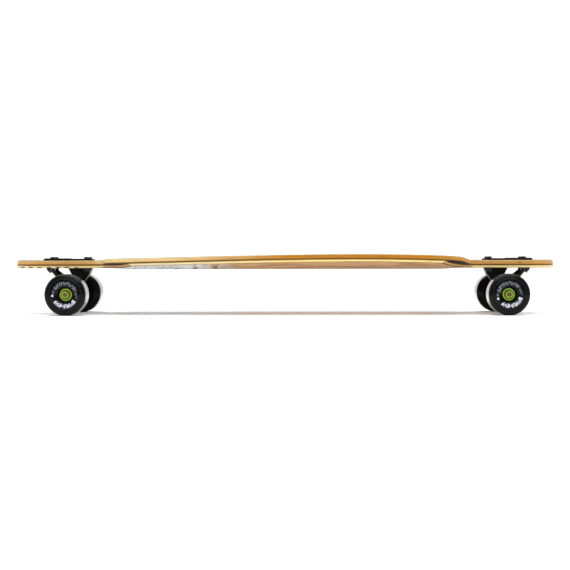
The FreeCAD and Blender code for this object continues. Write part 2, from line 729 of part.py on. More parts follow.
def tyre():
    """The urethane tread with rounded lips and a dished mouth on each side."""
    lip_middle = vec(FACE_RADIUS + LIP_BULGE[0], LIP_SHOULDER + LIP_BULGE[1], 0)
    right = [
        vec(CORE_RADIUS, CORE_HALF, 0), vec(HUB_FLOOR_RADIUS, CORE_HALF, 0),
        vec(HUB_MOUTH_RADIUS, WHEEL_HALF - HUB_MOUTH_CHAMFER, 0),
        vec(FACE_INNER_RADIUS, WHEEL_HALF, 0), vec(FACE_RADIUS, WHEEL_HALF, 0),
        vec(FACE_RADIUS + FACE_STEP, WHEEL_HALF - FACE_STEP, 0),
    ]
    edges = [Part.LineSegment(a, b).toShape() for a, b in zip(right, right[1:])]
    shoulder = vec(WHEEL_RADIUS, LIP_SHOULDER, 0)
    edges.append(Part.Arc(right[-1], lip_middle, shoulder).toShape())
    mirrored = [edge.mirror(vec(0, 0, 0), Y_AXIS) for edge in edges]
    low_shoulder = vec(WHEEL_RADIUS, -LIP_SHOULDER, 0)
    low_start = vec(CORE_RADIUS, -CORE_HALF, 0)
    edges.append(Part.LineSegment(shoulder, low_shoulder).toShape())
    edges += mirrored
    edges.append(Part.LineSegment(low_start, right[0]).toShape())
    wire = Part.Wire(Part.__sortEdges__(edges))
    return Part.Face(wire).revolve(vec(0, 0, 0), Y_AXIS, 360)


def core():
    """The hub insert: two bearing seats with a stop between them."""
    seat_end = SPACER_LENGTH / 2 + BEARING_WIDTH
    stop = SPACER_LENGTH / 2
    stop_radius = BEARING_OUTER_BORE + STOP_STEP
    half = [
        (stop_radius, stop), (BEARING_RADIUS, stop), (BEARING_RADIUS, seat_end),
        (BEARING_RADIUS + SEAT_FLARE, CORE_HALF), (CORE_RADIUS, CORE_HALF),
    ]
    return turned_about_y(half + [(r, -y) for r, y in reversed(half)])


def outer_rings():
    """The outer rings of the two bearings."""
    return group([
        bearing_ring(BEARING_RADIUS, BEARING_OUTER_BORE, middle) for middle in BEARING_MIDDLES
    ])


def ball_turns():
    """The places of the balls round a bearing, as directions."""
    for index in range(BALL_COUNT):
        turn = 2 * math.pi * index / BALL_COUNT
        yield vec(math.cos(turn), 0, math.sin(turn))


def bearing_balls():
    """The balls of the two bearings."""
    balls = []
    for middle in BEARING_MIDDLES:
        for turn in ball_turns():
            balls.append(Part.makeSphere(BALL_RADIUS, turn * BALL_PITCH_RADIUS + Y_AXIS * middle))
    return group(balls)


def bearing_cages():
    """The ring that keeps the balls apart, in each bearing."""
    cages = []
    outer = BALL_PITCH_RADIUS + CAGE_HALF_THICKNESS
    inner = BALL_PITCH_RADIUS - CAGE_HALF_THICKNESS
    for middle in BEARING_MIDDLES:
        start = vec(0, middle - CAGE_HALF, 0)
        cage = tube(outer, inner, start, Y_AXIS, 2 * CAGE_HALF)
        pockets = [
            cylinder(BALL_RADIUS + CAGE_CLEARANCE, Y_AXIS * middle, turn, BALL_PITCH_RADIUS + 3)
            for turn in ball_turns()
        ]
        cages.append(cage.cut(pockets))
    return group(cages)


def bearing_shields():
    """The thin discs that close both sides of the two bearings."""
    shields = []
    inner = BEARING_INNER_RADIUS + SHIELD_GAP
    deep = BEARING_WIDTH / 2 - SHIELD_DEPTH - SHIELD_THICKNESS
    for middle in BEARING_MIDDLES:
        for low in (middle + deep, middle - deep - SHIELD_THICKNESS):
            shields.append(
                tube(BEARING_OUTER_BORE, inner, vec(0, low, 0), Y_AXIS, SHIELD_THICKNESS)
            )
    return group(shields)


# ---- assembly ----

def truck_nodes():
    """Every node of one truck."""
    return {
        "baseplate": baseplate(),
        "mounting_bolts": mounting_bolts(),
        "mounting_nuts": mounting_nuts(),
        "kingpin": kingpin(),
        "kingpin_nut": kingpin_nut(),
        "pivot_cup": pivot_cup(),
        "boardside_bushing": bushing(BOSS_SEAT + WASHER_BOARD, BUSHING_LENGTH_BOARD),
        "roadside_bushing": bushing(RING_HALF, BUSHING_LENGTH_ROAD),
        "boardside_washer": kingpin_washer(BOSS_SEAT, WASHER_BOARD),
        "roadside_washer": kingpin_washer(NUT_SEAT - WASHER_ROAD, WASHER_ROAD),
        "hanger": hanger(),
        "axle": axle(),
        "axle_nuts": on_axle_ends(axle_nut_pieces),
        "speed_washers": on_axle_ends(speed_washer_pieces),
        "bearing_inner_rings": on_axle_ends(inner_ring_pieces),
        "bearing_spacers": on_axle_ends(bearing_spacer_pieces),
    }


def wheel_nodes():
    """Every node of one wheel."""
    return {
        "tyre": tyre(),
        "core": core(),
        "bearing_outer_rings": outer_rings(),
        "bearing_balls": bearing_balls(),
        "bearing_cages": bearing_cages(),
        "bearing_shields": bearing_shields(),
    }


def wheel_placements():
    """Name of each wheel, with the placement that carries it onto its axle end."""
    for end, side_x in (("front", 1), ("rear", -1)):
        for hand, side_y in (("left", 1), ("right", -1)):
            place = vec(side_x * WHEELBASE / 2, side_y * WHEEL_Y, AXLE_HEIGHT)
            turn = FreeCAD.Rotation(Z_AXIS, 0 if side_y > 0 else 180)
            yield end + "_" + hand, FreeCAD.Placement(place, turn)


def write(name, shape):
    """Write one node with its place in the board's frame, after making sure that it is sound."""
    if not shape.isValid():
        raise ValueError(name + " isn't a valid shape")
    moved = shape.copy()
    moved.translate(vec(-ORIGIN_X, 0, 0))
    moved.exportStep(os.path.join("parts", name + ".step"))


def main():
    """Build and write every node."""
    os.makedirs("parts", exist_ok=True)
    write("deck", deck())
    write("grip_tape", grip_tape())
    truck = truck_nodes()
    for end, placement in truck_placements():
        for name, shape in truck.items():
            write(end + "_" + name, placed(shape, placement))
    wheel = wheel_nodes()
    for corner, placement in wheel_placements():
        for name, shape in wheel.items():
            write(corner + "_" + name, placed(shape, placement))


main()
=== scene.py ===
"""Drop-through longboard: visual model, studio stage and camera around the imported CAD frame."""
import json
import math
import random

import bmesh
import bpy
from mathutils import Matrix, Vector
from mathutils.geometry import delaunay_2d_cdt


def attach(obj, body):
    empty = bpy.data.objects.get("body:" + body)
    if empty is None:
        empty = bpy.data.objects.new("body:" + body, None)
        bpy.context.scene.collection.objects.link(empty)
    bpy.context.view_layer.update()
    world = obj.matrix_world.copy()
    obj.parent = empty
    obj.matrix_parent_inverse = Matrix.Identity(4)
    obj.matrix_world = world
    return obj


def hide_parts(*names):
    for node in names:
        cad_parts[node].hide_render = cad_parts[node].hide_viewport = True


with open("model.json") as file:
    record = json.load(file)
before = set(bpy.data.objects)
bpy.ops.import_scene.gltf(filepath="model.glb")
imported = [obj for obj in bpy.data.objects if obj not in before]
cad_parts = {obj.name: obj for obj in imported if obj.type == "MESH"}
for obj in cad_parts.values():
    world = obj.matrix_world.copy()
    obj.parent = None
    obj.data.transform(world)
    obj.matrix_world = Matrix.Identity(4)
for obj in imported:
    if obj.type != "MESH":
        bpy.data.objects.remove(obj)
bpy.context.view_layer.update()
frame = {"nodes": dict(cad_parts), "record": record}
nodes = frame["nodes"]

MM = 0.001

# ---- dimensions of the deck, in mm from the middle between the axles ----

SHIFT_X = 5.95                      # the frame's origin is this far behind that middle
NOSE_X = 495.3
TAIL_X = 507.2
RAIL_Y = 120.5
NECK_Y = 61.0
NOSE_LENGTH = 56.0
FLARE_X = 333.0
FLARE_CORNER = 22.0
FLARE_ROOT = 16.0
THICKNESS = 14.0
NECK_UNDERSIDE = 85.3
BELLY_DROP = 2.4
BELLY_BLEND = 60.0
BELLY_START = 5.0                   # how far past the flare the belly begins
CONCAVE_POWER = 2.3
RAIL_RISE = (
    (-350, 0.0), (-334, 2.6), (-300, 3.4), (-256, 4.6), (-170, 6.6), (-83, 8.7), (3, 10.2),
    (90, 11.2), (140, 11.4), (218, 10.4), (262, 9.2), (305, 7.0), (316, 5.5), (330, 1.2),
    (338, 0.0),
)
RELIEF_START = (278.0, 120.5)       # where the relief's edge leaves the rail
RELIEF_NORMAL = (0.83, 0.558)       # direction across that edge, into the relief
RELIEF_WALL = 5.0                   # width of its slanted wall
RELIEF_DEPTHS = (5.1, 6.0)          # at the wall's foot, and where the floor is deepest
RELIEF_FLOOR = 37.0                 # distance from the edge to that place
EDGE_ROUNDING = ((1.2, 0.0), (0.7, 0.12), (0.35, 0.35), (0.1, 0.75), (0.0, 1.2))
EDGE_INSET = 1.2

# ---- dimensions of the trucks and wheels, in mm ----

AXLE_X = {"front": 399.5, "rear": -399.5}
AXLE_Z = 37.5
WHEEL_Y = 103.0
WHEEL_HALF = 26.0
BOLT_X = (-24.7, 38.8)
BOLT_Y = 20.65
BOLT_HOLE = 2.7
CUTOUT = (
    (53, -14.5, 4), (53, 14.5, 4), (32, 14.5, 0), (32, 27, 4), (-18, 27, 4), (-18, 14.5, 0),
    (-33.2, 14.5, 4), (-33.2, -14.5, 4), (-18, -14.5, 0), (-18, -27, 4), (32, -27, 4),
    (32, -14.5, 0),
)
NUT_INSERT = ((4.3, 121.9), (4.3, 122.5), (4.9, 122.95), (5.5, 122.95), (5.9, 122.4), (5.9, 121.9))
AXLE_END = ((1.3, 123.8), (1.35, 124.1), (1.7, 124.3), (2.9, 124.3), (3.6, 124.0))
THREAD_CREST = (4.06, 123.75)       # of the first thread, as radius and y
THREAD_ROOT = (3.85, 123.6)
THREAD_PITCH = 0.32
THREAD_TURNS = 4

# ---- how finely the deck is meshed: counts, and gaps in mm ----

RAIL_STEP = 7.0
RAIL_EXTRA = {278.81, 281.8, 284.83, 288.0, 293.0}      # more points where the reliefs begin
RAIL_END_GAP = 2.5
CORNER_STEPS = 12
FLARE_STEPS = 5
ROOT_ANGLES = {0.0, 9.0, 18.0, 27.0, 45.0, 54.0, 63.0, 81.0, 90.0}
NECK_STEPS = 14
TIP_STEPS = 24
OPENING_STEPS = 4
HOLE_SIDES = 18
SIDE_LEVELS = (0.25, 0.5, 0.75)
OPENING_LEVELS = (0.0, 0.33, 0.67, 1.0)
GRID_STEP = 8.0
GRID_ROW = 0.87                     # distance between rows, in steps
GRID_MARGIN = 2.0
HOLE_GAP = 3.0
CREASE_GAP = 2.2
BORDER_GAP = 3.0
FLARE_GAP = 4.0
TIP_GAP = 5.0
MERGE_GAP = 2e-6                    # in metres
EDGE, TOP, UNDER = 0, 1, 2          # material indices of the deck

# ---- looks of the deck; places along the board are in metres from the frame's origin ----

NOISE_SPAN = (0.3, 0.7)             # where most of a noise's values lie
VENEER_WANDER = 0.018
PALE_SPAN = (0.0, -0.21)            # the veneers turn pale towards the tail,
TAIL_SPAN = (-0.352, -0.335)        # less so beyond the rear flare,
NOSE_SPAN = (0.26, 0.36)            # and a little at the nose
HEM_SPAN = (-0.375, -0.385)         # dashes along the tail's lower edge
HEM_VENEER = (0.80, 0.84)
PATTERN_START = (-0.10, -0.16)      # brushed pattern on the underside
PATTERN_END = (-0.500, -0.494)
GOLDEN_VENEERS = (
    (0.0, (0.28, 0.20, 0.08)), (0.04, (0.42, 0.24, 0.045)), (0.14, (0.40, 0.185, 0.014)),
    (0.25, (0.38, 0.135, 0.003)), (0.42, (0.45, 0.175, 0.006)), (0.49, (0.34, 0.125, 0.006)),
    (0.53, (0.11, 0.042, 0.003)), (0.65, (0.10, 0.042, 0.004)), (0.70, (0.44, 0.29, 0.075)),
    (0.76, (0.78, 0.62, 0.23)), (0.93, (0.77, 0.56, 0.21)), (0.97, (0.36, 0.18, 0.05)),
    (1.0, (0.17, 0.075, 0.015)),
)
PALE_VENEERS = (
    (0.0, (0.42, 0.36, 0.20)), (0.05, (0.60, 0.49, 0.25)), (0.20, (0.64, 0.47, 0.21)),
    (0.42, (0.66, 0.44, 0.18)), (0.48, (0.36, 0.21, 0.07)), (0.52, (0.10, 0.055, 0.012)),
    (0.66, (0.10, 0.055, 0.012)), (0.70, (0.50, 0.38, 0.15)), (0.76, (0.72, 0.60, 0.28)),
    (0.90, (0.62, 0.52, 0.34)), (0.95, (0.38, 0.28, 0.19)), (1.0, (0.26, 0.17, 0.10)),
)
HEM_COLOURS = ((0.66, 0.56, 0.38), (0.09, 0.04, 0.012))
EDGE_SPECK = (0.16, 0.075, 0.02)
PATTERN_COLOURS = (
    (0.0, (0.30, 0.32, 0.30)), (0.40, (0.40, 0.41, 0.41)), (0.44, (0.62, 0.62, 0.62)),
    (0.53, (0.58, 0.58, 0.58)), (0.56, (0.24, 0.27, 0.24)), (0.61, (0.44, 0.45, 0.44)),
    (1.0, (0.6, 0.6, 0.6)),
)
PATTERN_INK = (0.03, 0.035, 0.03)
PATTERN_FLECK = (0.30, 0.32, 0.30)
RELIEF_VENEERS = (
    (0.60, (0.008, 0.0075, 0.007)), (0.632, (0.009, 0.0075, 0.006)), (0.67, (0.30, 0.16, 0.06)),
    (0.76, (0.56, 0.34, 0.14)), (0.88, (0.50, 0.29, 0.12)), (0.94, (0.10, 0.05, 0.02)),
    (1.0, (0.07, 0.035, 0.015)),
)
GRIP_GROUND = ((0.3, (0.007, 0.007, 0.0075)), (0.7, (0.012, 0.012, 0.013)))
GRIP_GLINT = (0.045, 0.045, 0.048)
WORN_METAL = (0.22, 0.21, 0.20)

# ---- prints on the wheels: first angle, last angle, pitch, width, inner and outer radius ----

GREY_ARCS = (
    (-64.0, 66.0, 5.2, 0.85, 17.6, 23.9), (72.0, 104.0, 7.0, 0.7, 18.6, 23.0),
    (276.0, 292.0, 6.0, 0.8, 19.6, 23.6),
)
WHITE_ARCS = ((122.0, 236.0, 5.4, 1.25, 16.8, 23.9), (262.0, 270.0, 4.0, 1.4, 20.4, 24.0))
PRINT_TURNS = {"front_right": -16.0, "rear_right": 0.0, "front_left": 40.0, "rear_left": 75.0}
PRINT_LEVELS = (0.06, -0.05)        # top and bottom of a bar, from the wheel's face
PRINT_SEED = 11
BAR_STEPS = 3
BAR_STARTS = (0.0, 0.0, 0.25, 0.5)  # how far a bar's ends fall short of the two radii
BAR_ENDS = (0.0, 0.0, 0.0, 0.3)
BAR_LEAN = (0.15, 0.75)
BAR_SPACING = (0.75, 1.2)

# ---- stage, lights and camera, in metres, watts and degrees ----

FLOOR_X = (-8.0, -1.0, 1.0, 8.0)
FLOOR_Y = (-1.6, -0.5, 0.5, 9.0)
FLOOR_Z = -0.0002
PAPER = ((0.3, (0.94, 0.94, 0.94)), (0.7, (0.96, 0.96, 0.96)))
FRONT_LIGHT = 0.16
SIDE_LIGHT = 1.2
TOP_LIGHT = 1.35
SIDE_LIGHT_SPAN = (-0.72, -0.20)
TOP_LIGHT_SPAN = (0.45, 0.85)
SOFTBOXES = (
    ("softbox_top", (0.0, -0.2, 2.2), (0, 0, 0.05), (2.6, 1.4), 40.0),
    ("softbox_front", (0.2, -2.4, 1.9), (0, 0, 0.08), (2.4, 0.9), 30.0),
)
CAMERA_PLACE = (0.04762, -2.9641, 0.1012)
CAMERA_TURN = 0.9028
CAMERA_TILT = 90 - 0.9312
CAMERA_ROLL = -0.0843
CAMERA_LENS = 99.85
CAMERA_SENSOR = 36.0
CAMERA_REACH = 60.0


# ---- node materials ----

class Shader:
    """A procedural material under construction."""

    def __init__(self, name):
        self.material = bpy.data.materials.new(name)
        self.material.use_nodes = True
        self.tree = self.material.node_tree
        self.bsdf = self.tree.nodes["Principled BSDF"]

    def add(self, kind, inputs=None, **settings):
        """A new node with its settings, and its inputs set or linked."""
        node = self.tree.nodes.new("ShaderNode" + kind)
        for key, value in settings.items():
            setattr(node, key, value)
        for key, value in (inputs or {}).items():
            self.feed(node.inputs[key], value)
        return node

    def feed(self, socket, value):
        """Sets a socket, or links it when the value is another socket."""
        if isinstance(value, bpy.types.NodeSocket):
            self.tree.links.new(value, socket)
        else:
            socket.default_value = value

    def surface(self, **values):
        """Feeds the shader's sockets; underscores stand for spaces."""
        for key, value in values.items():
            self.feed(self.bsdf.inputs[key.replace("_", " ")], value)

    def place(self, scale=(1, 1, 1)):
        """Coordinates fixed to the object, in metres times scale."""
        spot = self.add("TexCoord").outputs["Object"]
        return self.add("Mapping", {"Vector": spot, "Scale": scale}).outputs["Vector"]

    def noise(self, scale, detail=3.0, roughness=0.55, stretch=(1, 1, 1), distortion=0.0):
        """A noise value from 0 to 1."""
        values = {
            "Vector": self.place(stretch), "Scale": scale, "Detail": detail,
            "Roughness": roughness, "Distortion": distortion,
        }
        return self.add("TexNoise", values).outputs["Fac"]

    def attribute(self, name):
        """A value stored on the mesh."""
        return self.add("Attribute", attribute_name=name).outputs["Fac"]

    def math(self, operation, first, second=0.0):
        """One arithmetic step."""
        node = self.add("Math", operation=operation)
        self.feed(node.inputs[0], first)
        self.feed(node.inputs[1], second)
        return node.outputs[0]

    def spread(self, value, low, high, to_low=0.0, to_high=1.0):
        """Maps a value's range onto another, clamped."""
        values = {
            "Value": value, "From Min": low, "From Max": high, "To Min": to_low, "To Max": to_high,
        }
        return self.add("MapRange", values).outputs["Result"]

    def ramp(self, value, stops):
        """A colour from a value."""
        node = self.add("ValToRGB", {"Fac": value})
        ramp = node.color_ramp
        while len(ramp.elements) < len(stops):
            ramp.elements.new(0.5)
        for element, (spot, colour) in zip(ramp.elements, stops):
            element.position = spot
            element.color = (*colour, 1.0)
        return node.outputs["Color"]

    def grey(self, value):
        """A grey colour from a value."""
        channels = {"Red": value, "Green": value, "Blue": value}
        return self.add("CombineColor", channels).outputs["Color"]

    def along(self):
        """The distance along the board."""
        return self.add("SeparateXYZ", {"Vector": self.place()}).outputs["X"]

    def bands(self, place, scale, distortion, detail, detail_scale):
        """Wavy bands across the board, as a value from 0 to 1."""
        values = {
            "Vector": place, "Scale": scale, "Distortion": distortion, "Detail": detail,
            "Detail Scale": detail_scale,
        }
        node = self.add("TexWave", values, wave_type="BANDS", bands_direction="X")
        return node.outputs["Fac"]

    def mix(self, factor, first, second, blend="MIX"):
        """A blend of two colours."""
        node = self.add("Mix", data_type="RGBA", blend_type=blend)
        self.feed(node.inputs["Factor"], factor)
        for key, value in (("A", first), ("B", second)):
            socket = next(s for s in node.inputs if s.name == key and s.type == "RGBA")
            self.feed(socket, (*value, 1.0) if isinstance(value, tuple) else value)
        return next(s for s in node.outputs if s.type == "RGBA")

    def bump(self, height, distance, strength=1.0):
        """Tilts the surface by a height in metres."""
        values = {"Height": height, "Distance": distance, "Strength": strength}
        self.surface(Normal=self.add("Bump", values).outputs["Normal"])


def wood_grain(shader, light, dark):
    """Long fibres along the board, with short dark pores between them."""
    fibres = shader.noise(26, 5.0, 0.65, (1, 9, 14), 0.6)
    bands = shader.noise(7, 2.0, 0.5, (1, 7, 5), 1.2)
    pores = shader.noise(420, 2.0, 0.5, (0.06, 1, 1))
    colour = shader.mix(shader.spread(fibres, 0.32, 0.7), dark, light)
    tint = tuple(0.72 * shade for shade in dark)
    colour = shader.mix(shader.spread(bands, 0.42, 0.6, 0.0, 0.7), colour, tint)
    shade = shader.grey(shader.spread(pores, 0.28, 0.42, 0.72, 1.0))
    return shader.mix(1.0, colour, shade, "MULTIPLY"), fibres, pores


def edge_wood():
    """The sawn and varnished edge, with its glued veneers in bands."""
    shader = Shader("deck_edge")
    wavy = shader.noise(34, 2.0, 0.5, (1, 4, 0.5))
    wander = shader.spread(wavy, 0.0, 1.0, -VENEER_WANDER, VENEER_WANDER)
    ply = shader.math("ADD", shader.attribute("ply"), wander)
    golden = shader.ramp(ply, GOLDEN_VENEERS)
    pale = shader.ramp(ply, PALE_VENEERS)
    along = shader.along()
    third = shader.spread(along, *PALE_SPAN, 0.0, 0.92)
    tail = shader.spread(along, *TAIL_SPAN, 0.42, 1.0)
    nose = shader.spread(along, *NOSE_SPAN, 0.0, 0.30)
    paleness = shader.math("MAXIMUM", shader.math("MULTIPLY", third, tail), nose)
    veneers = shader.mix(paleness, golden, pale)
    _, fibres, pores = wood_grain(shader, (1, 1, 1), (0.5, 0.5, 0.5))
    streak = shader.grey(shader.spread(fibres, *NOISE_SPAN, 0.82, 1.14))
    colour = shader.mix(1.0, veneers, streak, "MULTIPLY")
    speck = shader.spread(shader.noise(150, 3.0, 0.6, (0.3, 1, 1)), 0.66, 0.74, 0.0, 0.45)
    colour = shader.mix(speck, colour, EDGE_SPECK)
    wave = shader.bands(shader.place(), 18.5, 1.2, 1.0, 6.0)
    dashes = shader.mix(shader.spread(wave, 0.45, 0.6), *HEM_COLOURS)
    hem = shader.math(
        "MULTIPLY", shader.spread(along, *HEM_SPAN), shader.spread(ply, *HEM_VENEER)
    )
    colour = shader.mix(hem, colour, dashes)
    shader.surface(Base_Color=colour, Roughness=shader.spread(fibres, *NOISE_SPAN, 0.34, 0.5))
    shader.surface(Specular_IOR_Level=0.25, Coat_Weight=0.08, Coat_Roughness=0.18)
    shader.bump(pores, 0.00008, 0.6)
    return shader.material


def top_wood():
    """Varnished maple beside and under the grip tape."""
    shader = Shader("deck_top")
    colour, fibres, pores = wood_grain(shader, (0.74, 0.50, 0.22), (0.52, 0.29, 0.10))
    shader.surface(Base_Color=colour, Roughness=shader.spread(fibres, *NOISE_SPAN, 0.32, 0.48))
    shader.surface(Coat_Weight=0.2, Coat_Roughness=0.2)
    shader.bump(pores, 0.00008, 0.6)
    return shader.material


def brushed_pattern(shader, along):
    """A loose brushed pattern, with how much of it covers the wood."""
    strokes = shader.noise(9, 4.0, 0.6, (4.2, 1.1, 1), 1.6)
    fine = shader.noise(60, 3.0, 0.6, (2.6, 0.5, 1), 0.8)
    paint = shader.ramp(strokes, PATTERN_COLOURS)
    slant = shader.bands(shader.place((1, 0.55, 1)), 9.0, 5.0, 3.0, 1.4)
    gaps = shader.spread(shader.noise(14, 2.0), 0.5, 0.56)
    ink = shader.math("MULTIPLY", shader.spread(slant, 0.90, 0.94), gaps)
    paint = shader.mix(ink, paint, PATTERN_INK)
    paint = shader.mix(shader.spread(fine, 0.62, 0.7, 0.0, 0.5), paint, PATTERN_FLECK)
    reach = shader.math("ADD", along, shader.spread(strokes, *NOISE_SPAN, -0.045, 0.045))
    start = shader.spread(reach, *PATTERN_START)
    end = shader.spread(along, *PATTERN_END)
    patchy = shader.spread(shader.noise(30, 4.0, 0.7, (2, 0.6, 1), 1.0), 0.34, 0.42)
    return paint, shader.math("MULTIPLY", shader.math("MULTIPLY", start, end), patchy)


def under_wood():
    """The underside: bare veneer, a brushed pattern at the tail end, and the reliefs, near-black
    on their floors.
    """
    shader = Shader("deck_underside")
    colour, fibres, pores = wood_grain(shader, (0.60, 0.39, 0.21), (0.42, 0.235, 0.11))
    paint, cover = brushed_pattern(shader, shader.along())
    colour = shader.mix(cover, colour, paint)
    ply = shader.attribute("ply")
    inside = shader.spread(ply, 0.999, 0.990)
    colour = shader.mix(inside, colour, shader.ramp(ply, RELIEF_VENEERS))
    shader.surface(Base_Color=colour, Roughness=shader.spread(fibres, *NOISE_SPAN, 0.50, 0.65))
    shader.surface(Specular_IOR_Level=0.02)
    shader.bump(pores, 0.00006, 0.5)
    return shader.material


def grip():
    """Abrasive black sheet: coarse bright grains over a matt ground."""
    shader = Shader("grip_tape")
    cells = shader.add("TexVoronoi", {"Vector": shader.place(), "Scale": 1500.0})
    grains = cells.outputs["Distance"]
    base = shader.ramp(shader.noise(60, 4.0, 0.6), GRIP_GROUND)
    glint = shader.spread(grains, 0.16, 0.05)
    shader.surface(Base_Color=shader.mix(glint, base, GRIP_GLINT))
    shader.surface(Roughness=shader.spread(glint, 0.0, 1.0, 0.92, 0.5), Specular_IOR_Level=0.15)
    shader.bump(grains, 0.0003, 0.8)
    return shader.material


def coated(name, base, rough, grain=900.0, depth=0.00004, coat=0.0, chips=0.0):
    """Paint or oxide over metal, with orange peel and worn specks."""
    shader = Shader(name)
    cloud = shader.noise(45, 4.0, 0.6)
    light = tuple(c * 1.7 for c in base)
    colour = shader.mix(shader.spread(cloud, *NOISE_SPAN), base, light)
    wear = shader.spread(shader.noise(260, 4.0, 0.7), 0.70, 0.74, 0.0, chips)
    shader.surface(Base_Color=shader.mix(wear, colour, WORN_METAL))
    shader.surface(Roughness=shader.spread(cloud, *NOISE_SPAN, rough - 0.05, rough + 0.08))
    shader.surface(Coat_Weight=coat, Coat_Roughness=0.12, Specular_IOR_Level=0.09)
    shader.bump(shader.noise(grain, 2.0, 0.5), depth, 0.7)
    return shader.material


def metal(name, base, rough, brush=(1, 1, 1), stain=(0.65, 0.624, 0.546)):
    """Bare or plated metal with fine brushing and dull patches."""
    shader = Shader(name)
    lines = shader.noise(700, 3.0, 0.6, brush)
    cloud = shader.noise(120, 4.0, 0.6)
    dull = tuple(a * b for a, b in zip(base, stain))
    colour = shader.mix(shader.spread(cloud, 0.5, 0.75, 0.0, 0.5), base, dull)
    shader.surface(Base_Color=colour, Metallic=1.0)
    shader.surface(Roughness=shader.spread(lines, *NOISE_SPAN, rough, rough + 0.18))
    shader.bump(lines, 0.00002, 0.5)
    return shader.material


def moulded(name, base, rough, coat=0.0, mottle=1.35, depth=0.00003, gloss=0.3):
    """Cast or moulded plastic and urethane, with a little dust."""
    shader = Shader(name)
    cloud = shader.noise(70, 4.0, 0.6)
    light = tuple(c * mottle for c in base)
    colour = shader.mix(shader.spread(cloud, *NOISE_SPAN), base, light)
    dust = shader.spread(shader.noise(500, 3.0, 0.7), 0.70, 0.76, 0.0, 0.25)
    colour = shader.mix(dust, colour, tuple(min(1.0, c * 1.5 + 0.02) for c in base))
    roughness = shader.spread(cloud, *NOISE_SPAN, rough, rough + 0.07)
    shader.surface(Base_Color=colour, Roughness=roughness)
    shader.surface(Coat_Weight=coat, Coat_Roughness=0.08, Specular_IOR_Level=gloss)
    shader.bump(shader.noise(1300, 2.0, 0.5), depth, 0.5)
    return shader.material


# ---- shape of the deck ----

def rail_slopes():
    """Slopes of the rail's rise at its stations, without overshoot."""
    steps = [(b[1] - a[1]) / (b[0] - a[0]) for a, b in zip(RAIL_RISE, RAIL_RISE[1:])]
    slopes = [0.0]
    for left, right in zip(steps, steps[1:]):
        slopes.append(2 * left * right / (left + right) if left * right > 0 else 0.0)
    return slopes + [0.0]


RAIL_SLOPES = rail_slopes()


def rail_rise(x):
    """How far the rail stands above the flat ends."""
    if x <= RAIL_RISE[0][0] or x >= RAIL_RISE[-1][0]:
        return 0.0
    index = max(i for i, (station, _) in enumerate(RAIL_RISE[:-1]) if x >= station)
    (x0, z0), (x1, z1) = RAIL_RISE[index], RAIL_RISE[index + 1]
    span = x1 - x0
    t = (x - x0) / span
    m0, m1 = RAIL_SLOPES[index] * span, RAIL_SLOPES[index + 1] * span
    return ((2 * t ** 3 - 3 * t ** 2 + 1) * z0 + (t ** 3 - 2 * t ** 2 + t) * m0
            + (3 * t ** 2 - 2 * t ** 3) * z1 + (t ** 3 - t ** 2) * m1)


def underside(x, y):
    """Height of the uncut underside."""
    inside = min(1.0, max(0.0, (FLARE_X + BELLY_START - abs(x)) / BELLY_BLEND))
    belly = -BELLY_DROP * inside ** 2 * (3 - 2 * inside)
    across = (abs(y) / RAIL_Y) ** CONCAVE_POWER
    return NECK_UNDERSIDE + belly + (rail_rise(x) - belly) * across


def relief_reach(x, y):
    """Distance inside a flare relief, negative outside it."""
    from_x, from_y = abs(x) - RELIEF_START[0], abs(y) - RELIEF_START[1]
    return min(from_x * RELIEF_NORMAL[0] + from_y * RELIEF_NORMAL[1], abs(y) - NECK_Y)


def relief_cut(x, y):
    """Thickness cut away under a flare."""
    reach = relief_reach(x, y)
    if reach <= 0 or abs(x) > FLARE_X + FLARE_ROOT:
        return 0.0
    if reach < RELIEF_WALL:
        return RELIEF_DEPTHS[0] * reach / RELIEF_WALL
    more = min(1.0, (reach - RELIEF_WALL) / (RELIEF_FLOOR - RELIEF_WALL))
    return RELIEF_DEPTHS[0] + (RELIEF_DEPTHS[1] - RELIEF_DEPTHS[0]) * more


def arc(centre, across, along, start, end, steps):
    """Points of an ellipse's arc from one angle to another, in degrees."""
    points = []
    for i in range(steps + 1):
        a = math.radians(start + i * (end - start) / steps)
        points.append((centre[0] + along * math.cos(a), centre[1] + across * math.sin(a)))
    return points


def between(first, last, steps):
    """Points inside a straight run."""
    (x0, y0), (x1, y1) = first, last
    return [
        (x0 + (x1 - x0) * i / steps, y0 + (y1 - y0) * i / steps) for i in range(1, steps)
    ]


def quarter(inset, end_x):
    """A quarter of the outline from the rail's middle to the tip."""
    rail_end, rail_low = FLARE_X - FLARE_CORNER, RAIL_Y - FLARE_CORNER
    stations = {i * RAIL_STEP for i in range(int(rail_end / RAIL_STEP))} | RAIL_EXTRA
    points = [(x, RAIL_Y - inset) for x in sorted(stations) if x < rail_end - RAIL_END_GAP]
    corner = FLARE_CORNER - inset
    points += arc((rail_end, rail_low), corner, corner, 90, 0, CORNER_STEPS)
    flare = FLARE_X - inset
    root_x, root_y = FLARE_X + FLARE_ROOT, NECK_Y + FLARE_ROOT
    points += between((flare, rail_low), (flare, root_y), FLARE_STEPS)
    level = {
        math.degrees(math.asin((root_y - y) / (FLARE_ROOT + EDGE_INSET)))
        for y in (NECK_Y + RELIEF_WALL, NECK_Y)
    }
    root = FLARE_ROOT + inset
    for a in sorted(ROOT_ANGLES | level):
        a = math.radians(a)
        points.append((root_x - root * math.cos(a), root_y - root * math.sin(a)))
    neck, neck_end = NECK_Y - inset, end_x - NOSE_LENGTH
    points += between((root_x, neck), (neck_end, neck), NECK_STEPS)
    return points + arc((neck_end, 0.0), neck, NOSE_LENGTH - inset, 90, 0, TIP_STEPS)


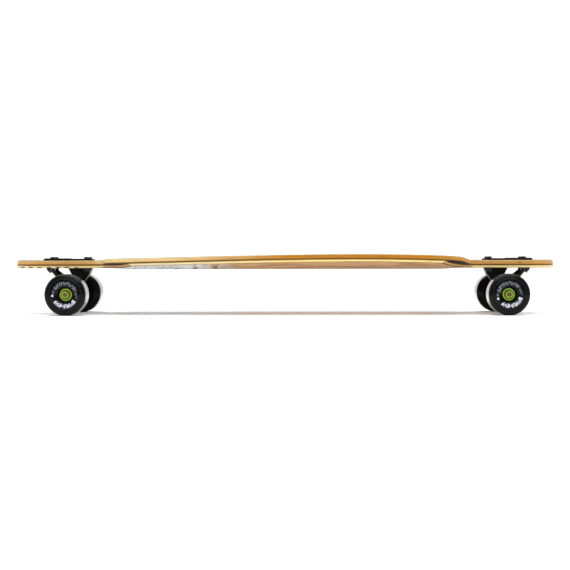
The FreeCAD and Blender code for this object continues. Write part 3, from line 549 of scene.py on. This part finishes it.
def outline(inset):
    """The whole outline, anticlockwise, with the same number of points at any inset."""
    front = quarter(inset, NOSE_X)
    rear = [(-x, y) for x, y in quarter(inset, TAIL_X)]
    upper = front[::-1] + rear[1:]
    lower = [(x, -y) for x, y in upper[1:-1]][::-1]
    return upper + lower


def rounded(corners):
    """A closed polygon with its corners rounded by the radius given with each."""
    points = []
    for i, (x, y, radius) in enumerate(corners):
        here = Vector((x, y))
        if not radius:
            points.append((x, y))
            continue
        before = (Vector(corners[i - 1][:2]) - here).normalized() * radius
        after = (Vector(corners[(i + 1) % len(corners)][:2]) - here).normalized() * radius
        centre = here + before + after
        for j in range(OPENING_STEPS + 1):
            a = math.radians(90 * j / OPENING_STEPS)
            points.append(tuple(centre - after * math.cos(a) - before * math.sin(a)))
    return points


def openings():
    """Loops of the drop-through openings and bolt holes, in deck coordinates."""
    circle = [math.radians(360 / HOLE_SIDES * i) for i in range(HOLE_SIDES)]
    loops = []
    for axle, side in ((AXLE_X["front"], 1), (AXLE_X["rear"], -1)):
        shapes = [rounded(CUTOUT)]
        for bolt_x in BOLT_X:
            for bolt_y in (-BOLT_Y, BOLT_Y):
                shapes.append([
                    (bolt_x + BOLT_HOLE * math.cos(a), bolt_y + BOLT_HOLE * math.sin(a))
                    for a in circle
                ])
        loops += [[(axle + side * x, side * y) for x, y in shape] for shape in shapes]
    return loops


def contains(loop, x, y):
    """Whether a point lies inside a loop."""
    inside = False
    for (x0, y0), (x1, y1) in zip(loop, loop[1:] + loop[:1]):
        if (y0 > y) != (y1 > y) and x < (x1 - x0) * (y - y0) / (y1 - y0) + x0:
            inside = not inside
    return inside


def boxed(loop, grow):
    """Bounds of a loop, grown on every side."""
    xs, ys = [p[0] for p in loop], [p[1] for p in loop]
    return min(xs) - grow, max(xs) + grow, min(ys) - grow, max(ys) + grow


def within(bounds, x, y):
    """Whether a point lies inside such bounds."""
    return bounds[0] < x < bounds[1] and bounds[2] < y < bounds[3]


def relief_lines():
    """The reliefs' creases, as open lines inside the underside's outline."""
    nx, ny = RELIEF_NORMAL
    rail = RAIL_Y - EDGE_INSET
    lines = []
    root = FLARE_ROOT + EDGE_INSET
    for reach, level in ((0.0, NECK_Y), (RELIEF_WALL, NECK_Y + RELIEF_WALL)):
        rail_x = RELIEF_START[0] + (reach - (rail - RELIEF_START[1]) * ny) / nx
        turn_x = RELIEF_START[0] + (reach - (level - RELIEF_START[1]) * ny) / nx
        drop = NECK_Y + FLARE_ROOT - level
        root_x = FLARE_X + FLARE_ROOT - math.sqrt(root ** 2 - drop ** 2)
        lines.append([(rail_x, rail), (turn_x, level), (root_x, level)])
    lines.append([lines[0][1], lines[1][1]])
    mirrored = []
    for side_x in (-1, 1):
        for side_y in (-1, 1):
            mirrored += [[(side_x * x, side_y * y) for x, y in line] for line in lines]
    return mirrored


def subdivided(line):
    """A polyline with its runs divided."""
    points = [line[0]]
    for first, last in zip(line, line[1:]):
        count = max(1, round(math.dist(first, last) / RAIL_STEP))
        points += between(first, last, count) + [last]
    return points


def near_line(x, y, lines):
    """Whether a point lies close to one of the creases."""
    for line in lines:
        for (x0, y0), (x1, y1) in zip(line, line[1:]):
            length2 = (x1 - x0) ** 2 + (y1 - y0) ** 2
            t = ((x - x0) * (x1 - x0) + (y - y0) * (y1 - y0)) / length2
            t = min(1.0, max(0.0, t))
            if math.hypot(x - x0 - t * (x1 - x0), y - y0 - t * (y1 - y0)) < CREASE_GAP:
                return True
    return False


def grid_points(low_x, high_x, low_y, high_y):
    """Staggered points over a rectangle."""
    row = 0
    y = low_y + GRID_MARGIN
    while y < high_y:
        x = low_x + (GRID_STEP / 2 if row % 2 else 0.0)
        while x < high_x:
            yield x, y
            x += GRID_STEP
        y += GRID_STEP * GRID_ROW
        row += 1


def sheet_triangles(border, holes, creases):
    """Triangles that fill the border around the holes: (points, triples)."""
    points, edges = [], []

    def add_line(line, closed):
        start, count = len(points), len(line)
        points.extend(line)
        for i in range(count if closed else count - 1):
            edges.append((start + i, start + (i + 1) % count))

    for loop in [border] + holes:
        add_line(loop, True)
    for line in creases:
        add_line(subdivided(line), False)
    guarded = [(boxed(hole, HOLE_GAP), hole) for hole in holes]
    for x, y in grid_points(*boxed(border, -GRID_MARGIN)):
        if (contains(border, x, y) and not any(within(bounds, x, y) for bounds, _ in guarded)
                and clear_of_border(x, y) and not near_line(x, y, creases)):
            points.append((x, y))
    verts, _, faces, _, _, _ = delaunay_2d_cdt([Vector(p) for p in points], edges, [], 1, 1e-5)
    triples = []
    for face in faces:
        x = sum(verts[i].x for i in face) / 3
        y = sum(verts[i].y for i in face) / 3
        if not any(within(bounds, x, y) and contains(hole, x, y) for bounds, hole in guarded):
            triples.append(tuple(face))
    return [(v.x, v.y) for v in verts], triples


def clear_of_border(x, y):
    """Whether a point keeps a few millimetres from the deck's outline."""
    x_far, y_far = abs(x), abs(y)
    limit = RAIL_Y if x_far < FLARE_X else NECK_Y
    if y_far > limit - EDGE_INSET - BORDER_GAP:
        return False
    if FLARE_X - FLARE_GAP < x_far < FLARE_X + FLARE_ROOT and y_far > NECK_Y - BORDER_GAP:
        return False
    over = x_far - ((NOSE_X if x > 0 else TAIL_X) - NOSE_LENGTH)
    if over > 0:
        return (over / (NOSE_LENGTH - TIP_GAP)) ** 2 + (y / (NECK_Y - TIP_GAP)) ** 2 < 1
    corner_x, corner_y = FLARE_X - FLARE_CORNER, RAIL_Y - FLARE_CORNER
    if x_far > corner_x and y_far > corner_y:
        return math.hypot(x_far - corner_x, y_far - corner_y) < FLARE_CORNER - FLARE_GAP
    return True


class Board:
    """The deck's mesh under construction."""

    def __init__(self):
        self.mesh = bmesh.new()
        self.ply = self.mesh.verts.layers.float.new("ply")

    def vertex(self, x, y, depth):
        """A vertex at a depth below the top face."""
        z = underside(x, y) + THICKNESS - depth
        vert = self.mesh.verts.new(((x + SHIFT_X) * MM, y * MM, z * MM))
        vert[self.ply] = depth / THICKNESS
        return vert

    def ring(self, loop, depth_at):
        """One loop of vertices; depth_at gives each one's depth."""
        return [self.vertex(x, y, depth_at(x, y)) for x, y in loop]

    def wall(self, rings, index, flip=False):
        """Quads between neighbouring rings."""
        for upper, lower in zip(rings, rings[1:]):
            count = len(upper)
            for i in range(count):
                j = (i + 1) % count
                corners = (upper[i], lower[i], lower[j], upper[j])
                face = self.mesh.faces.new(corners[::-1] if flip else corners)
                face.material_index = index

    def sheet(self, points, triples, depth_at, index, upward):
        """A filled face."""
        verts = [self.vertex(x, y, depth_at(x, y)) for x, y in points]
        for triple in triples:
            corners = [verts[i] for i in triple]
            face = self.mesh.faces.new(corners if upward else corners[::-1])
            face.material_index = index


def full_depth(x, y):
    """Depth of the underside, with the reliefs."""
    return THICKNESS - relief_cut(x, y)


def build_board():
    """The deck, with rounded edges, banded veneers, reliefs and openings."""
    board = Board()
    rings = []
    for inset, depth in EDGE_ROUNDING:
        rings.append(board.ring(outline(inset), lambda x, y, d=depth: d))
    for level in SIDE_LEVELS:
        rings.append(board.ring(
            outline(0.0),
            lambda x, y, f=level: EDGE_INSET + f * (full_depth(x, y) - 2 * EDGE_INSET),
        ))
    for inset, depth in EDGE_ROUNDING[::-1]:
        rings.append(board.ring(outline(inset), lambda x, y, d=depth: full_depth(x, y) - d))
    board.wall(rings, EDGE)
    holes = openings()
    for hole in holes:
        levels = [board.ring(hole, lambda x, y, f=f: f * THICKNESS) for f in OPENING_LEVELS]
        board.wall(levels, EDGE, flip=True)
    border = outline(EDGE_INSET)
    points, triples = sheet_triangles(border, holes, [])
    board.sheet(points, triples, lambda x, y: 0.0, TOP, True)
    points, triples = sheet_triangles(border, holes, relief_lines())
    board.sheet(points, triples, full_depth, UNDER, False)
    bmesh.ops.remove_doubles(board.mesh, verts=board.mesh.verts, dist=MERGE_GAP)
    return finish_mesh("deck_board", board.mesh, [edge_wood(), top_wood(), under_wood()], 38)


def finish_mesh(name, mesh, materials, crease):
    """An object from a bmesh, smooth up to the crease angle."""
    data = bpy.data.meshes.new(name)
    mesh.to_mesh(data)
    mesh.free()
    data.polygons.foreach_set("use_smooth", [True] * len(data.polygons))
    data.set_sharp_from_angle(angle=math.radians(crease))
    for material in materials:
        data.materials.append(material)
    piece = bpy.data.objects.new(name, data)
    bpy.context.scene.collection.objects.link(piece)
    return piece


# ---- wheels ----

TYRE_PROFILE = (
    (17.5, 14.0), (14.0, 14.0), (14.2, 19.0), (14.5, 24.4), (14.75, 25.2), (15.3, 25.8),
    (16.2, 26.0), (22.0, 26.0), (27.6, 26.0), (28.1, 25.88), (28.5, 25.62), (29.0, 25.60),
    (29.6, 25.82), (30.2, 25.92), (30.7, 25.70), (31.0, 25.42), (31.35, 25.38), (31.8, 25.46),
    (32.6, 25.38), (33.6, 25.05), (34.6, 24.52), (35.4, 23.95), (36.1, 23.30), (36.7, 22.55),
    (37.1, 21.80), (37.38, 21.10), (37.5, 20.4), (37.5, 17.5), (37.5, 10.0), (37.5, 3.5),
)
TYRE_SEGMENTS = 144
TREAD_FROM = 25                 # profile index where the tread's own finish begins
AXLE_SEGMENTS = 48


def lathe(profile, centre, segments, band_of=None):
    """A ring turned from a closed profile of (radius, y) about the axle's direction."""
    mesh = bmesh.new()
    rings = []
    for i in range(segments):
        a = 2 * math.pi * i / segments
        rings.append([
            mesh.verts.new((
                centre[0] + r * MM * math.sin(a), centre[1] + y * MM,
                centre[2] + r * MM * math.cos(a),
            ))
            for r, y in profile
        ])
    count = len(profile)
    for i in range(segments):
        here, there = rings[i], rings[(i + 1) % segments]
        for j in range(count):
            k = (j + 1) % count
            face = mesh.faces.new((here[j], here[k], there[k], there[j]))
            face.material_index = band_of(j) if band_of else 0
    bmesh.ops.recalc_face_normals(mesh, faces=mesh.faces)
    return mesh


def build_tyre(name, centre, materials):
    """A urethane tyre with a soft lip round its face."""
    profile = list(TYRE_PROFILE) + [(r, -y) for r, y in TYRE_PROFILE[::-1]]
    last = len(profile) - 1 - TREAD_FROM

    def band(index):
        return 1 if TREAD_FROM <= index < last else 0

    return finish_mesh(name, lathe(profile, centre, TYRE_SEGMENTS, band), materials, 50)


def stroke(mesh, centre, side, path, width):
    """One raised flat stroke along a path of (radius, angle) on a wheel's face."""
    face_y = centre[1] + side * WHEEL_HALF * MM
    spots = []
    for r, a in path:
        a = math.radians(a)
        spots.append(Vector((r * math.sin(a), r * math.cos(a))))
    tops, lows = [], []
    for i, spot in enumerate(spots):
        ahead = spots[min(i + 1, len(spots) - 1)] - spots[max(i - 1, 0)]
        across = Vector((-ahead.y, ahead.x)).normalized() * width / 2
        for level, store in zip(PRINT_LEVELS, (tops, lows)):
            for p in (spot + across, spot - across):
                place = (centre[0] + p.x * MM, face_y + side * level * MM, centre[2] + p.y * MM)
                store.append(mesh.verts.new(place))
    for i in range(len(spots) - 1):
        a, b, c, d = 2 * i, 2 * i + 1, 2 * i + 3, 2 * i + 2
        mesh.faces.new((tops[a], tops[b], tops[c], tops[d]))
        mesh.faces.new((tops[a], tops[d], lows[d], lows[a]))
        mesh.faces.new((tops[b], lows[b], lows[c], tops[c]))
        mesh.faces.new((lows[a], lows[d], lows[c], lows[b]))
    for i in (0, len(spots) - 1):
        mesh.faces.new((tops[2 * i], lows[2 * i], lows[2 * i + 1], tops[2 * i + 1]))


def print_arc(mesh, centre, side, turn, draw, bars):
    """Leaning bars of uneven height along an arc of a wheel's face."""
    first, last, pitch, width, inner, outer = bars
    mirror = -1 if side > 0 else 1
    reach = outer - inner
    angle = first
    while angle < last:
        low = inner + reach * draw.choice(BAR_STARTS)
        high = outer - reach * draw.choice(BAR_ENDS)
        lean = draw.uniform(*BAR_LEAN) * pitch
        path = []
        for i in range(BAR_STEPS + 1):
            bar_angle = angle + lean * i / BAR_STEPS
            path.append((low + (high - low) * i / BAR_STEPS, mirror * (bar_angle + turn)))
        stroke(mesh, centre, side, path, width)
        angle += pitch * draw.uniform(*BAR_SPACING)


def build_print(name, centre, side, turn, materials):
    """A ring of plain bars printed on a wheel's outer face, grey above and white below."""
    mesh = bmesh.new()
    draw = random.Random(PRINT_SEED)
    for grey_arc in GREY_ARCS:
        print_arc(mesh, centre, side, turn, draw, grey_arc)
    grey_faces = len(mesh.faces)
    for white_arc in WHITE_ARCS:
        print_arc(mesh, centre, side, turn, draw, white_arc)
    for index, face in enumerate(mesh.faces):
        face.material_index = 0 if index < grey_faces else 1
    bmesh.ops.recalc_face_normals(mesh, faces=mesh.faces)
    return finish_mesh(name, mesh, materials, 30)


# ---- stage, lights and camera ----

def build_stage():
    """A pale flat floor."""
    mesh = bmesh.new()
    columns = [[mesh.verts.new((x, y, FLOOR_Z)) for y in FLOOR_Y] for x in FLOOR_X]
    for left, right in zip(columns, columns[1:]):
        for i in range(len(FLOOR_Y) - 1):
            mesh.faces.new((left[i], right[i], right[i + 1], left[i + 1]))
    shader = Shader("studio_paper")
    shader.surface(Base_Color=shader.ramp(shader.noise(40, 3.0), PAPER), Roughness=0.9)
    finish_mesh("studio_floor", mesh, [shader.material], 60)


def area_light(name, place, target, size, power):
    """A soft rectangular light aimed at a point."""
    data = bpy.data.lights.new(name, "AREA")
    data.shape = "RECTANGLE"
    data.size, data.size_y = size
    data.energy = power
    light = bpy.data.objects.new(name, data)
    bpy.context.scene.collection.objects.link(light)
    light.location = place
    light.rotation_euler = (Vector(target) - Vector(place)).to_track_quat("-Z", "Y").to_euler()


def build_world():
    """White surroundings that grow dark low in front, where a studio has nothing lit."""
    world = bpy.data.worlds.new("studio")
    world.use_nodes = True
    tree = world.node_tree

    def add(kind, **settings):
        node = tree.nodes.new("ShaderNode" + kind)
        for key, value in settings.items():
            setattr(node, key, value)
        return node

    def span(value, low, high, to_low, to_high):
        node = add("MapRange", interpolation_type="SMOOTHSTEP")
        tree.links.new(value, node.inputs["Value"])
        ranges = {"From Min": low, "From Max": high, "To Min": to_low, "To Max": to_high}
        for key, number in ranges.items():
            node.inputs[key].default_value = number
        return node.outputs["Result"]

    def combine(operation, first, second):
        node = add("Math", operation=operation)
        tree.links.new(first, node.inputs[0])
        tree.links.new(second, node.inputs[1])
        return node.outputs[0]

    axes = add("SeparateXYZ")
    tree.links.new(add("TexCoord").outputs["Generated"], axes.inputs["Vector"])
    lit_side = span(axes.outputs["Y"], *SIDE_LIGHT_SPAN, FRONT_LIGHT, SIDE_LIGHT)
    lit_top = span(axes.outputs["Z"], *TOP_LIGHT_SPAN, 0.0, TOP_LIGHT)
    glow = combine("MAXIMUM", lit_side, lit_top)
    backdrop = span(add("LightPath").outputs["Is Camera Ray"], 0.0, 1.0, 0.0, SIDE_LIGHT)
    strength = combine("MAXIMUM", glow, backdrop)
    background = tree.nodes["Background"]
    background.inputs["Color"].default_value = (1.0, 1.0, 1.0, 1.0)
    tree.links.new(strength, background.inputs["Strength"])
    bpy.context.scene.world = world


def build_lights():
    """The surroundings, and soft boxes above and in front."""
    build_world()
    for softbox in SOFTBOXES:
        area_light(*softbox)


def build_camera():
    """The camera, low and level, in front of the board's side."""
    data = bpy.data.cameras.new("camera")
    data.lens = CAMERA_LENS
    data.sensor_width = CAMERA_SENSOR
    data.clip_end = CAMERA_REACH
    camera = bpy.data.objects.new("camera", data)
    bpy.context.scene.collection.objects.link(camera)
    turn = Matrix.Rotation(math.radians(CAMERA_TURN), 4, "Z")
    tilt = Matrix.Rotation(math.radians(CAMERA_TILT), 4, "X")
    roll = Matrix.Rotation(math.radians(CAMERA_ROLL), 4, "Z")
    camera.matrix_world = Matrix.Translation(CAMERA_PLACE) @ turn @ tilt @ roll
    bpy.context.scene.camera = camera


# ---- the model ----

def dress(piece, body, slot, *replaced):
    """Puts a new piece on its body and hides the CAD nodes it replaces; slot is not used."""
    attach(piece, body)
    if replaced:
        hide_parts(*replaced)


def paint_frame():
    """Gives every CAD node that stays in sight its own material."""
    finishes = {
        "grip_tape": grip(),
        "truck_casting": coated("truck_casting", (0.006, 0.0045, 0.004), 0.38, chips=0.12),
        "black_bolt": coated(
            "black_bolt", (0.014, 0.013, 0.013), 0.24, 500.0, 0.00002, coat=0.3, chips=0.5
        ),
        "steel": metal("steel", (0.56, 0.56, 0.57), 0.22, stain=(0.858, 0.845, 0.806)),
        "axle_steel": metal("axle_steel", (0.17, 0.13, 0.07), 0.30, (1, 0.05, 1)),
        "axle_nut": metal("axle_nut", (0.20, 0.30, 0.03), 0.30),
        "pivot_cup": moulded("pivot_cup", (0.03, 0.03, 0.03), 0.5),
        "bushing": moulded("bushing", (0.016, 0.015, 0.015), 0.32, coat=0.2),
        "wheel_core": moulded("wheel_core", (0.0022, 0.0022, 0.0026), 0.42, gloss=0.06),
        "bearing_steel": metal("bearing_steel", (0.66, 0.66, 0.68), 0.12),
        "bearing_ring": metal("bearing_ring", (0.36, 0.56, 0.055), 0.30),
        "bearing_cage": moulded("bearing_cage", (0.62, 0.60, 0.50), 0.45),
        "bearing_shield": moulded("bearing_shield", (0.115, 0.19, 0.012), 0.36, mottle=1.2),
    }
    slots = {part["node"]: part["material_slot"] for part in frame["record"]["subparts"]}
    for name, node in nodes.items():
        if slots[name] in finishes:
            node.data.materials.clear()
            node.data.materials.append(finishes[slots[name]])


def wheel_sides():
    """End, name and side of each wheel, with its axle's x in metres."""
    for end, axle_x in AXLE_X.items():
        for hand, side in (("left", 1), ("right", -1)):
            yield end, f"{end}_{hand}", side, (axle_x + SHIFT_X) * MM


def build_wheels():
    """Tyres and their printed bands."""
    rubber = moulded(
        "urethane", (0.0016, 0.0014, 0.0015), 0.26, coat=0.2, depth=0.00001, gloss=0.05
    )
    tread = moulded(
        "urethane_tread", (0.006, 0.006, 0.006), 0.27, coat=0.5, depth=0.00001, gloss=0.5
    )
    inks = [
        moulded("print_grey", (0.17, 0.18, 0.23), 0.5),
        moulded("print_white", (0.56, 0.58, 0.68), 0.5),
    ]
    for _, name, side, axle_x in wheel_sides():
        centre = (axle_x, side * WHEEL_Y * MM, AXLE_Z * MM)
        tyre = build_tyre(name + "_tyre_urethane", centre, [rubber, tread])
        dress(tyre, name + "_wheel", "urethane", name + "_tyre")
        band = build_print(name + "_print", centre, side, PRINT_TURNS[name], inks)
        dress(band, name + "_wheel", "urethane")


def build_axle_ends():
    """Nut inserts and threaded ends on the axles."""
    insert = moulded("nut_insert", (0.42, 0.55, 0.06), 0.35, mottle=1.15)
    thread = metal("axle_thread", (0.13, 0.09, 0.04), 0.3, (1, 0.05, 1))
    stub = list(AXLE_END)
    for i in range(THREAD_TURNS):
        stub += [(r, y - THREAD_PITCH * i) for r, y in (THREAD_CREST, THREAD_ROOT)]
    parts = (
        ("nut_insert", NUT_INSERT, insert, "axle_nut"),
        ("axle_thread", stub, thread, "axle_steel"),
    )
    for end, name, side, axle_x in wheel_sides():
        for part, profile, finish, slot in parts:
            turned = [(r, side * y) for r, y in profile]
            mesh = lathe(turned, (axle_x, 0.0, AXLE_Z * MM), AXLE_SEGMENTS)
            piece = finish_mesh(f"{name}_{part}", mesh, [finish], 40)
            dress(piece, end + "_hanger", slot)


paint_frame()
dress(build_board(), "deck", "deck_wood", "deck")
build_wheels()
build_axle_ends()
build_stage()
build_lights()
build_camera()
bpy.context.scene.view_settings.view_transform = "Standard"
